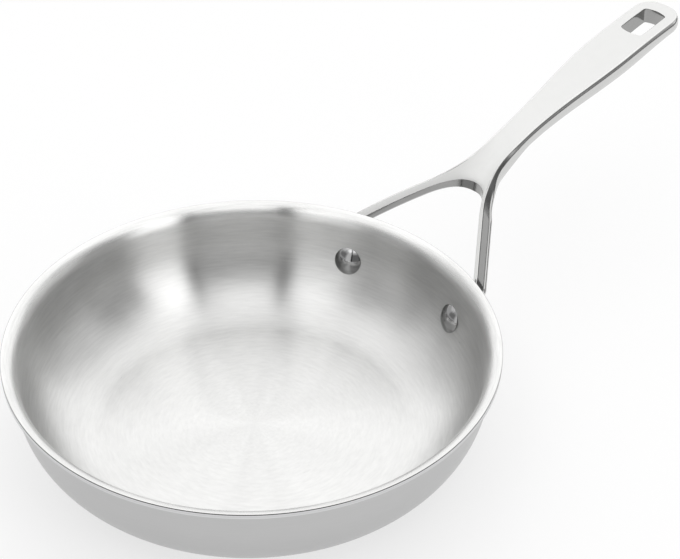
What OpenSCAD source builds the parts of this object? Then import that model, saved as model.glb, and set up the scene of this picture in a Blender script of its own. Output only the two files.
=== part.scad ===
// Clad stainless frying pan with a forked cast handle.
// Millimetres, +Z up. The pan stands on Z = 0 with its axis on the origin.
// The handle points along +X, and the pan is the same on both sides of Y = 0.

/* [Pan] */
// Width of the pan across its lip
pan_d = 210; // [190:1:300]
// Height of the lip's outer edge above the table
pan_h = 47.5; // [46:0.5:60]
// Outside radius of the bend between floor and wall
bend_r = 35.3; // [30:0.1:38]
// Lean of the wall away from upright, in degrees
wall_lean = 3.9; // [1:0.1:8]
// Reach of the lip beyond the top of the wall
lip_reach = 3.9; // [3.7:0.1:5]
// Radius under the rolled lip
lip_bend_r = 4; // [3:0.1:4.5]
// Upward tilt of the lip, in degrees
lip_tilt = 15; // [6:1:20]

/* [Bonded layers] */
// Thickness of the stainless layer that touches the food
inner_skin_t = 0.4; // [0.3:0.05:0.6]
// Thickness of the upper aluminium layer
upper_aluminium_t = 0.6; // [0.4:0.05:0.9]
// Thickness of the steel layer in the middle
middle_t = 0.4; // [0.3:0.05:0.6]
// Thickness of the lower aluminium layer
lower_aluminium_t = 0.6; // [0.4:0.05:0.9]
// Thickness of the magnetic stainless layer outside
outer_skin_t = 0.5; // [0.4:0.05:0.7]

/* [Handle grip] */
// Reach of the handle from the lip to its tip
handle_reach = 177.8; // [160:0.1:220]
// Height of the tip's top face above the lip
tip_rise = 48.3; // [30:0.1:70]
// Width of the grip near the tip
grip_w = 22.8; // [19:0.1:26]
// Thickness of the grip at the tip
tip_t = 8.3; // [7:0.1:10]
// Thickness of the grip in the hand
grip_t = 10.1; // [9:0.1:12]
// Thickness of the grip at its narrowest place
neck_t = 8; // [7:0.1:11]
// Upward bow of the grip
grip_bow = 2.4; // [0:0.1:5]
// Length of the rounding at the tip, seen from above
tip_round = 10; // [6:0.5:12]
// Distance from the tip at which the grip has its full width
full_width_back = 43; // [35:1:50]

/* [Handle fork] */
// Distance from the lip to the narrowest place of the handle
neck_reach = 66.5; // [56:0.5:75]
// Height of the neck's top edges above the lip
neck_rise = 27.6; // [20:0.1:34]
// Width of the neck
neck_w = 13.4; // [12:0.1:15]
// Distance from the lip to the crotch of the fork
crotch_reach = 37.8; // [33:0.1:42]
// Distance from the lip to where the edge lines of neck and leg meet
corner_reach = 36.9; // [34:0.1:40]
// Radius of the outer edge where the neck opens into a leg
fork_bend_r = 51.5; // [36:0.5:58]
// Thickness of the handle at the crotch
crotch_t = 11; // [9:0.1:12.5]
// Depth of the crotch's top edge below the side edges of the handle
crotch_dip = 5.1; // [3:0.1:7]
// Rounding of the top edge inside the crotch
crotch_edge_r = 1.5; // [0.5:0.1:2]
// Rounding of the inner top edge of a leg
leg_edge_r = 0.45; // [0.2:0.05:0.8]
// Width of a leg's inner top face, seen from above
leg_face_w = 1.5; // [1.2:0.1:2.4]
// Depth of a leg's inner edge below its ridge
leg_dip = 2.3; // [1.5:0.1:3.5]
// Gap between the lip and a leg's ridge where the leg passes the lip
leg_gap = 4.7; // [4:0.1:6]
// Depth of the ridge below the lip where the leg passes the lip
leg_drop = 1.7; // [1.2:0.1:4]
// Fall of a leg where it passes the lip, in degrees
leg_fall = 33.5; // [20:0.5:40]
// Length of a leg from there to its foot
leg_past = 1; // [0.5:0.1:2]

/* [Hanging hole] */
// Length of the hanging hole along its middle
hole_len = 21.6; // [16:0.1:24]
// Width of the hanging hole
hole_w = 12.2; // [9:0.1:14]
// Distance from the tip to the middle of the hole
hole_back = 18; // [16:0.1:24]
// Radius of the curved ends of the hole
hole_end_r = 15; // [12:0.5:20]
// Radius of the corners of the hole
hole_corner_r = 1.4; // [0.5:0.1:2.5]

/* [Pads and rivets] */
// Angle between each rivet and the handle's middle line, in degrees
rivet_turn = 18.8; // [16:0.1:22]
// Height of the rivets on the inner wall
rivet_h = 25.7; // [22:0.1:28]
// Width of a rivet head inside the pan
head_d = 12.7; // [11:0.1:14]
// Height of a rivet head
head_h = 3; // [2.4:0.1:3.6]
// Straight rim of a rivet head
head_rim = 0.7; // [0.5:0.1:1]
// Width of a rivet's shank
shank_d = 6; // [5:0.1:7]
// Gap around a rivet's shank
shank_gap = 0.05; // [0.02:0.01:0.1]
// Width of a rivet's formed tail
tail_d = 10; // [9:0.1:11]
// Height of a rivet's formed tail
tail_h = 2; // [1.5:0.1:2.5]
// Thickness of a pad at its rivet
pad_t = 4; // [3:0.1:5]
// Radius of a pad round its rivet
pad_r = 9; // [8:0.1:10]
// Rounding of a pad's edge
pad_edge_r = 1.5; // [1:0.1:2]
// Width of a foot where it runs into its pad
foot_w = 12; // [10:0.1:13]
// Thickness of a foot there
foot_t = 4.4; // [4:0.1:5]

/* [Hidden] */
$fn = 96;
// Overrun of every cut past the face that it leaves
cut = 1;
// Steps along the curves of the wall
bend_steps = 18;
lip_steps = 8;
// Steps along the handle
tip_steps = 7;
grip_steps = 12;
neck_steps = 8;
crotch_steps = 14;
leg_steps = 6;
foot_steps = 8;
// Steps across the top face, along the belly and round a pad's edge
top_steps = 5;
belly_steps = 9;
pad_edge_steps = 4;
// Bevel between top face and side, out and down, on the grip and on a leg
grip_bevel_out = 0.8;
grip_bevel_down = 1.1;
leg_bevel_out = 3.2;
leg_bevel_down = 5.5;
// Lean of the wall inside the fork, towards the pan, at the crotch and on a leg
crotch_wall_in = 0.7;
leg_wall_in = 0.1;
// Height of the wall inside the fork on a leg
leg_wall_down = 3.5;
// Power that sets ribs and points closer together towards the inner edge of the fork
closer_power = 2;
// Guide points of the belly's curve, out from the bevel, down the side and in under the leg
grip_swell = 2.1;
leg_swell = 4.2;
leg_side_down = 3.7;
leg_foot_in = 1.5;
leg_foot_down = 3.5;
grip_side_share = 0.95;
grip_floor_share = 0.68;
// Place of a foot's end, up the wall from the rivet and out from the wall, and its guide lengths
foot_up = 3;
foot_out = 1.5;
foot_leg_lead = 4;
foot_pad_lead = 4;
// Where a leg's top face and its belly start and end round the end of a foot, in degrees
foot_top_turns = [-25, 25];
foot_belly_turns = [40, 200];
// Power of the rounding at the tip, and how much of its thickness the tip keeps there
tip_power = 2.6;
tip_keep_share = 0.2;
// Where the crotch's rib meets the outer edge, and the guide points of the inner edge
crotch_rib_share = 0.28;
crotch_side_share = 0.5;
crotch_leg_share = 0.6;
// How much of the leg's section the handle has at the crotch
crotch_leg_mix_share = 0.3;

// Sizes of the pan that follow from the ones above
lip_r = pan_d / 2;
wall_t = inner_skin_t + upper_aluminium_t + middle_t + lower_aluminium_t + outer_skin_t;
wall_top_r = lip_r - lip_reach;
lip_x = wall_top_r + lip_bend_r * cos(wall_lean);
lip_z = pan_h - (lip_bend_r + wall_t) / cos(lip_tilt) - (lip_r - lip_x) * tan(lip_tilt);
wall_top_h = lip_z + lip_bend_r * sin(wall_lean);
bend_top_h = bend_r * (1 - sin(wall_lean));
floor_r = wall_top_r - (wall_top_h - bend_top_h) * tan(wall_lean) - bend_r * cos(wall_lean);

// Half profile of the wall at a depth under its outer face, from the axis to the lip
function wall_curve(depth) = concat(
    [[0, depth]],
    [for (i = [0 : bend_steps])
        let (a = (90 - wall_lean) * i / bend_steps)
        [floor_r + (bend_r - depth) * sin(a), bend_r - (bend_r - depth) * cos(a)]],
    [for (i = [0 : lip_steps])
        let (a = wall_lean + (90 - lip_tilt - wall_lean) * i / lip_steps)
        [lip_x - (lip_bend_r + depth) * cos(a), lip_z + (lip_bend_r + depth) * sin(a)]],
    [[lip_r, lip_z + (lip_bend_r + depth) / cos(lip_tilt) + (lip_r - lip_x) * tan(lip_tilt)]]
);
function backwards(list) = [for (i = [len(list) - 1 : -1 : 0]) list[i]];

// One bonded layer of the pan, between two depths under the outer face
module layer(from_depth, to_depth) {
    difference() {
        rotate_extrude()
            polygon(concat(wall_curve(from_depth), backwards(wall_curve(to_depth))));
        rivet_bores();
    }
}

// Everything from a depth under the outer face inwards
module pan_filled(depth) {
    rotate_extrude()
        polygon(concat(wall_curve(depth), [[lip_r, pan_h + cut], [0, pan_h + cut]]));
}

// Rivets stand square to the wall
rivet_slope = acos((bend_r - rivet_h) / (bend_r - wall_t));
rivet_r = floor_r + bend_r * sin(rivet_slope);
rivet_z = bend_r - bend_r * cos(rivet_slope);

// Puts a shape on the outer face at a rivet, with +Z pointing out and +Y up the wall
module at_rivet(side) {
    rotate([0, 0, side * rivet_turn])
        translate([rivet_r, 0, rivet_z])
            rotate([0, 180 - rivet_slope, 0])
                rotate([0, 0, 90])
                    children();
}

module rivet_bores() {
    for (side = [-1, 1])
        at_rivet(side)
            translate([0, 0, -wall_t - cut])
                cylinder(d = shank_d + 2 * shank_gap, h = wall_t + pad_t + 2 * cut);
}

// A cap of a ball, of the given width and height, on its flat side
module dome(width, height) {
    ball_r = (width * width / 4 + height * height) / (2 * height);
    intersection() {
        translate([0, 0, height - ball_r])
            sphere(r = ball_r);
        cylinder(d = width, h = height);
    }
}

module rivet(side) {
    intersection() {
        at_rivet(side)
            translate([0, 0, -wall_t])
                mirror([0, 0, 1]) {
                    translate([0, 0, head_rim])
                        dome(head_d, head_h - head_rim);
                    translate([0, 0, -cut])
                        cylinder(d = head_d, h = cut + head_rim);
                }
        pan_filled(wall_t);
    }
    at_rivet(side) {
        translate([0, 0, -wall_t - head_rim])
            cylinder(d = shank_d, h = wall_t + head_rim + pad_t);
        translate([0, 0, pad_t])
            dome(tail_d, tail_h);
    }
}

// Places along the handle
tip_x = lip_r + handle_reach;
round_x = tip_x - tip_round;
full_x = tip_x - full_width_back;
neck_x = lip_r + neck_reach;
crotch_x = lip_r + crotch_reach;
corner_x = lip_r + corner_reach;
grip_half = grip_w / 2;
neck_half = neck_w / 2;
tip_z = pan_h + tip_rise;
neck_z = pan_h + neck_rise;
root_z = pan_h - leg_drop;
root = (lip_r + leg_gap) * [cos(rivet_turn), sin(rivet_turn)];
leg_turn = atan2(root[1] - neck_half, corner_x - root[0]);
leg_way = [-cos(leg_turn), sin(leg_turn)];
leg_side = [sin(leg_turn), cos(leg_turn)];

function smooth(t) = let (u = max(0, min(1, t))) u * u * (3 - 2 * u);
function mix(a, b, t) = a + (b - a) * t;
function unit(v) = v / norm(v);

// Half width of the grip
function half_width(x) = mix(neck_half, grip_half, smooth((x - neck_x) / (full_x - neck_x)));

// Height of the handle's top edges: a bowed grip, then a fall to the root of the legs
grip_run = tip_x - neck_x;
leg_run = neck_x - root[0];
neck_rate = (tip_z - neck_z + 4 * grip_bow) / grip_run;
function edge_z(x) = x >= neck_x
    ? let (t = (x - neck_x) / grip_run)
        mix(neck_z, tip_z, t) + 4 * grip_bow * t * (1 - t)
    : let (t = (neck_x - x) / leg_run)
        neck_z * (1 + 2 * t) * (1 - t) * (1 - t) + root_z * t * t * (3 - 2 * t)
            - neck_rate * leg_run * t * (1 - t) * (1 - t)
            + tan(leg_fall) * leg_run * t * t * (1 - t);

// Outer edge from the neck to the root of a leg, by its length: line, bend and line
corner_cut = fork_bend_r * tan(leg_turn / 2);
bend_from = neck_x - corner_x - corner_cut;
bend_len = fork_bend_r * leg_turn * PI / 180;
leg_start = [corner_x, neck_half] + corner_cut * leg_way;
leg_len = (root - leg_start) * leg_way + leg_past;
function outer_edge(s) = s < bend_from
    ? [neck_x - s, neck_half]
    : s < bend_from + bend_len
        ? let (a = (s - bend_from) / fork_bend_r * 180 / PI)
            [neck_x - bend_from - fork_bend_r * sin(a), neck_half + fork_bend_r * (1 - cos(a))]
        : leg_start + (s - bend_from - bend_len) * leg_way;

// Inner edge round the crotch, a curve with four guide points
crotch_from = bend_from + crotch_rib_share * bend_len;
crotch_to = bend_from + bend_len;
inner_end = leg_start - leg_face_w * leg_side;
crotch_guides = [
    [crotch_x, 0],
    [crotch_x, crotch_side_share * inner_end[1]],
    inner_end - crotch_leg_share * (crotch_x - inner_end[0]) * leg_way,
    inner_end
];
function curve(p, t) = let (u = 1 - t)
    u * u * u * p[0] + 3 * u * u * t * p[1] + 3 * u * t * t * p[2] + t * t * t * p[3];
function curve_way(p, t) = let (u = 1 - t)
    unit(u * u * (p[1] - p[0]) + 2 * u * t * (p[2] - p[1]) + t * t * (p[3] - p[2]));

// Hollow of the top face along the middle line, and thickness of the grip
hollow_from = neck_x + neck_half;
function hollow(x) = crotch_dip * pow(max(0, hollow_from - x) / (hollow_from - crotch_x), 2);
function thick(x) = x > full_x
    ? mix(grip_t, tip_t, smooth((x - full_x) / (round_x - full_x)))
    : mix(neck_t, grip_t, smooth((x - neck_x) / (full_x - neck_x)));

// A rib of the handle runs from its inner edge to its outer edge:
// inner point, outer point, foot of the inner wall, their heights, thickness, share of leg
function rib(inner, outer, dip, foot, foot_z, leggy) =
    [inner, outer, edge_z(inner[0]) - dip, edge_z(outer[0]), foot, foot_z, leggy];
tip_ribs = [for (i = [0 : tip_steps - 1])
    let (a = 84 * (1 - i / tip_steps))
    let (x = round_x + tip_round * sin(a))
    rib([x, 0], [x, half_width(x) * pow(cos(a), 2 / tip_power)], 0,
        [x, 0], edge_z(x) - thick(x) * pow(cos(a), tip_keep_share), 0)];
grip_ribs = [for (i = [0 : grip_steps - 1])
    let (x = mix(round_x, neck_x, i / grip_steps))
    rib([x, 0], [x, half_width(x)], hollow(x), [x, 0], edge_z(x) - thick(x), 0)];
neck_ribs = [for (i = [0 : neck_steps - 1])
    let (t = 1 - pow(1 - i / neck_steps, closer_power))
    let (x = mix(neck_x, crotch_x, t))
    rib([x, 0], outer_edge(t * crotch_from), hollow(x), [x - crotch_wall_in * smooth(t), 0],
        edge_z(x) - mix(neck_t, crotch_t, smooth(t)), crotch_leg_mix_share * smooth(t))];
crotch_ribs = [for (i = [0 : crotch_steps - 1])
    let (t = i / crotch_steps)
    let (inner = curve(crotch_guides, t))
    let (way = curve_way(crotch_guides, t))
    let (dip = mix(crotch_dip, leg_dip, smooth(t)))
    let (down = mix(crotch_t - crotch_dip, leg_wall_down, smooth(t)))
    rib(inner, outer_edge(mix(crotch_from, crotch_to, t)), dip,
        inner + mix(crotch_wall_in, leg_wall_in, t) * [-way[1], way[0]],
        edge_z(inner[0]) - dip - down, mix(crotch_leg_mix_share, 1, smooth(t)))];
leg_ribs = [for (i = [0 : leg_steps])
    let (outer = leg_start + i / leg_steps * leg_len * leg_way)
    let (inner = outer - leg_face_w * leg_side)
    rib(inner, outer, leg_dip, inner - leg_wall_in * leg_side,
        edge_z(inner[0]) - leg_dip - leg_wall_down, 1)];
ribs = concat(tip_ribs, grip_ribs, neck_ribs, crotch_ribs, leg_ribs);
fork_rib = tip_steps + grip_steps + neck_steps;

// Depth of the rounded inner edge of the fork under the top face, at a place seen from above
inner_edge = [for (k = [fork_rib : len(ribs) - 1]) ribs[k][0]];
function rounding(p) =
    let (t = (p[0] - inner_end[0]) / (crotch_x - inner_end[0]))
    let (r = mix(leg_edge_r, crotch_edge_r, smooth(t)))
    let (away = min([for (q = inner_edge) norm(p - q)]))
    away < r ? r - sqrt(r * r - (r - away) * (r - away)) : 0;

// Section of the handle along a rib: top face, bevel, then the belly back to the inner wall
function section(r) =
    let (across = r[1] - r[0], out = unit(across), leggy = r[6])
    let (bevel = r[1] + mix(grip_bevel_out, leg_bevel_out, leggy) * out)
    let (bevel_z = r[3] - mix(grip_bevel_down, leg_bevel_down, leggy))
    let (side = bevel + mix(min(grip_swell, norm(across)), leg_swell, leggy) * out)
    let (side_z = bevel_z - mix(grip_side_share * (bevel_z - r[5]), leg_side_down, leggy))
    let (under = r[4] + mix(grip_floor_share * norm(across), leg_foot_in, leggy) * out)
    let (under_z = r[5] - leg_foot_down * leggy)
    concat(
        [for (j = [0 : top_steps])
            let (t = pow(j / top_steps, closer_power))
            let (p = r[0] + t * across)
            [p[0], p[1], mix(r[2], r[3], mix(t * t, sin(90 * t), leggy)) - rounding(p)]],
        [for (j = [0 : belly_steps])
            curve([[bevel[0], bevel[1], bevel_z], [side[0], side[1], side_z],
                [under[0], under[1], under_z], [r[4][0], r[4][1], r[5]]], j / belly_steps)]
    );

ring_n = top_steps + belly_steps + 2;

// A place on the outside of the wall, by its distance across, up and out from the rivet
function on_wall(across, up, out) =
    let (r = rivet_r + up * cos(rivet_slope) + out * sin(rivet_slope))
    [r * cos(rivet_turn) - across * sin(rivet_turn),
        r * sin(rivet_turn) + across * cos(rivet_turn),
        rivet_z + up * sin(rivet_slope) - out * cos(rivet_slope)];

// A foot turns from its leg down to its pad, and each point of the section follows a curve of its own.
// The leg's inner wall turns to the pan's wall, and its belly turns outwards.
leg_end = section(ribs[len(ribs) - 1]);
leg_end_way = unit([leg_way[0], leg_way[1], leg_way[0] * tan(leg_fall)]);
up_way = on_wall(0, 1, 0) - on_wall(0, 0, 0);
foot_end = [for (j = [0 : ring_n - 1])
    let (a = j <= top_steps
        ? mix(foot_top_turns[0], foot_top_turns[1], j / top_steps)
        : mix(foot_belly_turns[0], foot_belly_turns[1], (j - top_steps - 1) / belly_steps))
    on_wall(foot_w / 2 * cos(a), foot_up, foot_out + foot_t / 2 * sin(a))];
foot_rings = [for (k = [1 : foot_steps])
    [for (j = [0 : ring_n - 1])
        curve([leg_end[j], leg_end[j] + foot_leg_lead * leg_end_way,
            foot_end[j] + foot_pad_lead * up_way, foot_end[j]], k / foot_steps)]];

rings = concat([for (r = ribs) section(r)], foot_rings);
ring_count = len(rings);
near_points = [for (ring = rings) for (p = ring) p];
far_points = [for (p = near_points) [p[0], -p[1], p[2]]];
// The two halves share the points on the middle line, up to the crotch
function near(k, j) = k * ring_n + j;
function far(k, j) =
    (k <= fork_rib && (j == 0 || j == ring_n - 1) ? 0 : ring_count * ring_n) + near(k, j);
last_ring = ring_count - 1;
function skin(at) = concat(
    [for (k = [0 : last_ring - 1]) for (j = [0 : ring_n - 2]) [at[k][j], at[k + 1][j], at[k + 1][j + 1]]],
    [for (k = [0 : last_ring - 1]) for (j = [0 : ring_n - 2]) [at[k][j], at[k + 1][j + 1], at[k][j + 1]]],
    [for (k = [fork_rib : last_ring - 1]) [at[k][ring_n - 1], at[k + 1][ring_n - 1], at[k + 1][0]]],
    [for (k = [fork_rib : last_ring - 1]) [at[k][ring_n - 1], at[k + 1][0], at[k][0]]],
    [for (j = [0 : ring_n - 3]) [at[0][ring_n - 1], at[0][j], at[0][j + 1]]],
    [for (j = [0 : ring_n - 3]) [at[last_ring][ring_n - 1], at[last_ring][j + 1], at[last_ring][j]]]
);
near_at = [for (k = [0 : last_ring]) [for (j = [0 : ring_n - 1]) near(k, j)]];
far_at = [for (k = [0 : last_ring]) [for (j = [0 : ring_n - 1]) far(k, j)]];

module handle_bar() {
    polyhedron(
        points = concat(near_points, far_points),
        faces = concat(skin(near_at), [for (f = skin(far_at)) backwards(f)])
    );
}

// A round pad with a flat face for the rivet's tail and a rounded edge, still running into the wall
module pad(side) {
    at_rivet(side)
        rotate_extrude()
            polygon(concat(
                [[0, pad_t], [0, -wall_t], [pad_r, -wall_t]],
                [for (i = [0 : pad_edge_steps])
                    let (a = 90 * i / pad_edge_steps)
                    [pad_r - pad_edge_r * (1 - cos(a)), pad_t - pad_edge_r * (1 - sin(a))]]
            ));
}

hole_x = tip_x - hole_back;
hole_tilt = atan((edge_z(hole_x + tip_round) - edge_z(hole_x - tip_round)) / (2 * tip_round));

// Centres of a curved end of the hole and of the corner that touches it and the straight side
hole_end = [hole_len / 2 - hole_end_r, 0];
hole_corner_y = hole_w / 2 - hole_corner_r;
hole_corner = [hole_end[0] + sqrt(pow(hole_end_r - hole_corner_r, 2) - pow(hole_corner_y, 2)), hole_corner_y];

// What a rounded corner leaves of the sharp one
module hole_corner_rest() {
    reach = hole_corner_r + cut;
    difference() {
        polygon([
            hole_corner,
            hole_corner + [0, reach],
            hole_corner + [reach, reach],
            hole_corner + reach * unit(hole_corner - hole_end)
        ]);
        translate(hole_corner)
            circle(r = hole_corner_r);
    }
}

// Hanging hole, square to the top face, with curved ends and rounded corners
module hanging_hole() {
    translate([hole_x, 0, edge_z(hole_x)])
        rotate([0, -hole_tilt, 0])
            translate([0, 0, -grip_t - tip_t])
                linear_extrude(height = grip_t + 2 * tip_t)
                    difference() {
                        intersection() {
                            square([hole_len + cut, hole_w], center = true);
                            translate(-hole_end)
                                circle(r = hole_end_r);
                            translate(hole_end)
                                circle(r = hole_end_r);
                        }
                        for (end = [0, 1], side = [0, 1])
                            mirror([end, 0])
                                mirror([0, side])
                                    hole_corner_rest();
                    }
}

module inner_steel_skin() {
    color("gainsboro")
        layer(wall_t - inner_skin_t, wall_t);
}

module upper_aluminium_layer() {
    color("lightslategray")
        layer(wall_t - inner_skin_t - upper_aluminium_t, wall_t - inner_skin_t);
}

module middle_steel_layer() {
    color("slategray")
        layer(outer_skin_t + lower_aluminium_t, outer_skin_t + lower_aluminium_t + middle_t);
}

module lower_aluminium_layer() {
    color("lightslategray")
        layer(outer_skin_t, outer_skin_t + lower_aluminium_t);
}

module outer_steel_skin() {
    color("darkgray")
        layer(0, outer_skin_t);
}

module forked_handle() {
    color("silver")
        difference() {
            union() {
                handle_bar();
                for (side = [-1, 1])
                    pad(side);
            }
            pan_filled(0);
            hanging_hole();
            rivet_bores();
        }
}

module left_rivet() {
    color("goldenrod")
        rivet(1);
}

module right_rivet() {
    color("goldenrod")
        rivet(-1);
}

inner_steel_skin();
upper_aluminium_layer();
middle_steel_layer();
lower_aluminium_layer();
outer_steel_skin();
forked_handle();
left_rivet();
right_rivet();
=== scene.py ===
"""Clad stainless frying pan with a forked cast handle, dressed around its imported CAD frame.

Metres, +Z up. The pan stands on Z = 0 with its axis on the origin, and its handle points along +X.
"""

import math
from types import SimpleNamespace

import bmesh
import bpy
from mathutils import Matrix, Vector
from mathutils.kdtree import KDTree


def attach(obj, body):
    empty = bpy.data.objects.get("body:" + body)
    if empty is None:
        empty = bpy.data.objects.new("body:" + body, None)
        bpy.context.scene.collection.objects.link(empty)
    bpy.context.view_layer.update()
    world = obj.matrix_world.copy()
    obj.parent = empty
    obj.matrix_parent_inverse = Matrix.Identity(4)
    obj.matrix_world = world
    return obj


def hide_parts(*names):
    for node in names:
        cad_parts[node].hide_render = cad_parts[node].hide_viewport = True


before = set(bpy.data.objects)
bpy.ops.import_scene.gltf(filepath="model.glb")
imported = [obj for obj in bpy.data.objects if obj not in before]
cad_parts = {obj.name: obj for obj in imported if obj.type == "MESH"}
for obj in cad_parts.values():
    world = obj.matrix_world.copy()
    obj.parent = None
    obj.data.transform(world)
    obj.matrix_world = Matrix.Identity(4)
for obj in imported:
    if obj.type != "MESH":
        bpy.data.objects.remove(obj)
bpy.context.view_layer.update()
MM = 0.001

bl_info = {
    "name": "Forked handle frying pan",
    "version": (1, 0, 0),
    "blender": (4, 5, 0),
    "location": "3D View > Sidebar > Pan",
    "description": "Makes the layered pan, its cast handle, its rivets and a plain stage",
    "category": "Object",
}


# Points closer than this are one point
SAME_PLACE = 1e-6
# Radius of the circle that a profile is swept along, and of the one where a map is in metres
SWEEP_R, MAP_R = 50 * MM, 100 * MM
# Steps along the pan's profile, round the skins, the layers, a pad, a bore and the table
FLOOR_STEPS, BEND_STEPS, LIP_STEPS = 6, 40, 14
SKIN_STEPS, LAYER_STEPS, PAD_STEPS, BORE_STEPS, TABLE_STEPS = 256, 192, 96, 64, 72
# Steps over a pad's rounding, a rivet's head and its tail
PAD_EDGE_STEPS, HEAD_DOME_STEPS, TAIL_DOME_STEPS = 8, 24, 16
# Sizes of the handle's section, as in the part's source, out and down from its edges
GRIP_BEVEL_OUT, GRIP_BEVEL_DOWN = 0.8 * MM, 1.1 * MM
LEG_BEVEL_OUT, LEG_BEVEL_DOWN = 3.2 * MM, 5.5 * MM
CROTCH_WALL_IN, LEG_WALL_IN, LEG_WALL_DOWN = 0.7 * MM, 0.1 * MM, 3.5 * MM
GRIP_SWELL, LEG_SWELL, LEG_SIDE_DOWN = 2.1 * MM, 4.2 * MM, 3.7 * MM
LEG_FOOT_IN, LEG_FOOT_DOWN = 1.5 * MM, 3.5 * MM
GRIP_SIDE_SHARE, GRIP_FLOOR_SHARE = 0.95, 0.68
TIP_TURN, TIP_POWER, TIP_KEEP_SHARE = math.radians(84), 2.6, 0.2
# Turn of the first rib at the tip, and how much closer the neck's ribs stand at the crotch
FIRST_RIB_TURN, NECK_CLOSENESS = math.radians(88), 1.8
CROTCH_RIB_SHARE, CROTCH_SIDE_SHARE, CROTCH_LEG_SHARE, CROTCH_LEG_MIX_SHARE = 0.28, 0.5, 0.6, 0.3
# Place and guide lengths of a foot's end on its pad, and the turns of its outline
FOOT_UP, FOOT_OUT, FOOT_LEG_LEAD, FOOT_PAD_LEAD = 3 * MM, 1.5 * MM, 4 * MM, 4 * MM
FOOT_TOP_TURNS, FOOT_BELLY_TURNS = (-25, 25), (40, 200)
# Ribs along the tip, the grip, the neck, the crotch, a leg and a foot
TIP_RIBS, GRIP_RIBS, NECK_RIBS, CROTCH_RIBS, LEG_RIBS, FOOT_RIBS = 22, 70, 36, 48, 26, 26
# Steps across a rib's top face, each rounding and the belly
TOP_STEPS, ROUND_STEPS, BELLY_STEPS = 14, 4, 26
# Greatest shares of the top face and the bevel that a rounding takes, the share of the bevel next
# to it that is held flat, and the place on the belly's curve where its rounding ends
TOP_ROUND_SHARE, BEVEL_ROUND_SHARE, BEVEL_HOLD_SHARE, BELLY_FROM = 0.35, 0.3, 0.12, 0.04
# Faces of the bevel between its roundings, and the ribs past the fork where it turns as cast
BEVEL_FACES = range(TOP_STEPS + ROUND_STEPS, TOP_STEPS + ROUND_STEPS + 3)
BEVEL_TURNS_FROM, BEVEL_TURNS_OVER = 34, 14
# Ribs before the crotch where the rounding of its edge is looked for
EASE_BEFORE = 30
# Steps of the slot's cutter, its overrun over and under the handle, and its flare there
SLOT_END_STEPS, SLOT_CORNER_STEPS, SLOT_SIDE_STEPS, SLOT_EDGE_STEPS = 12, 8, 5, 6
SLOT_OVER, SLOT_UNDER, SLOT_FLARE = 0.6 * MM, 0.35 * MM, 1.9
# Overrun of the pan's room over the lip, of a bore inside and outside its pad, and the depth by
# which a rivet's head runs into the curved wall
ROOM_OVER, BORE_IN, BORE_OUT, HEAD_SINK = 10 * MM, 4 * MM, 1 * MM, 0.6 * MM
# Places of the thin dark ring of painted shade on the lip's cut edge, in from the lip, and of the
# change to polish from the wall's top
EDGE_SHADE_IN, EDGE_SHADE_OUT, POLISH_IN, POLISH_OUT = 0.2 * MM, 0.08 * MM, 1.5 * MM, 1.0 * MM
# How strongly a blasted face is shaded as if it lay level
BLAST_EVENNESS = 1.5

# Soft boxes and dark gaps of the studio. Each has the azimuth of its middle, half
# its width, the elevation of its middle, half its height and the softness of its edge, all in
# degrees, then the light that it adds or takes away
SOFT_BOXES = (
    ("ceiling", 0, 200, 90, 36, 8, 0.65),
    ("lower edge of the ceiling over the camera", 232, 20, 54, 6, 4, -0.1),
    ("wall behind the handle", 40, 46, 30, 28, 8, 0.65),
    ("brightest part of that wall", 44, 14, 45, 10, 6, 0.3),
    ("upper wall on the left", 118, 26, 46, 12, 5, 0.35),
    ("dark edge of the table on the left", 126, 48, 0, 8, 4, -0.7),
    ("dark edge of the table on the right", 325, 38, 1, 6, 3, -0.6),
    ("low box on the right", 330, 14, 17, 5, 3, 0.35),
    ("dark corner on the left", 150, 20, 28, 13, 6, -0.4),
    ("dark room behind the camera", 234, 24, 25, 20, 4, -0.45),
    ("tall box left of the camera", 189, 12, 35, 35, 4, 0.3),
    ("tall box right of the camera", 272, 11, 28, 30, 4, 1.0),
    ("dark gap on the right", 300, 13, 28, 16, 4, -0.45),
    ("low box in front of the table", 222, 30, 0, 7, 3, 1.0),
    ("high box over the camera", 232, 20, 66, 10, 5, 0.45),
    ("high box on the right", 288, 24, 56, 8, 6, 0.6),
    ("high box on the left", 178, 18, 60, 8, 6, 0.6),
    ("gap right of the camera", 256, 3, 16, 20, 2, -0.45),
    ("middle of the right gap", 259, 3, 42, 8, 2, -1.1),
    ("bend of the right gap", 265, 4, 56, 7, 2, -1.3),
    ("end of the right gap, overhead", 277, 7, 67, 6, 3, -1.3),
    ("gap left of the camera", 208, 3, 25, 28, 2, -0.8),
    ("bend of the left gap", 204, 4, 58, 7, 2, -1.3),
    ("next part of the left gap", 197, 6, 68, 5, 3, -1.3),
    ("end of the left gap, overhead", 175, 16, 76, 4, 3, -1.3),
)


def length(name, about, millimetres):
    """A length that a user may change, given in millimetres and kept in metres."""
    return bpy.props.FloatProperty(
        name=name, description=about, default=millimetres * MM, unit="LENGTH", precision=5
    )


def angle(name, about, degrees):
    """An angle that a user may change, given in degrees."""
    return bpy.props.FloatProperty(
        name=name, description=about, default=math.radians(degrees), subtype="ANGLE"
    )


def share(name, about, value, low=0.0, high=1.0):
    """A plain number between two limits."""
    return bpy.props.FloatProperty(
        name=name, description=about, default=value, min=low, max=high, subtype="FACTOR"
    )


def amount(name, about, value):
    """A plain number of any size."""
    return bpy.props.FloatProperty(name=name, description=about, default=value, precision=4)


def linear(code):
    """The linear colour of an sRGB hex value."""
    parts = [int(code[i : i + 2], 16) / 255 for i in (1, 3, 5)]
    return tuple(p / 12.92 if p <= 0.04045 else ((p + 0.055) / 1.055) ** 2.4 for p in parts)


def colour(name, about, code):
    """A colour that a user may change, given as an sRGB hex value."""
    return bpy.props.FloatVectorProperty(
        name=name, description=about, default=linear(code), subtype="COLOR", size=3, min=0, max=1
    )


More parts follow.
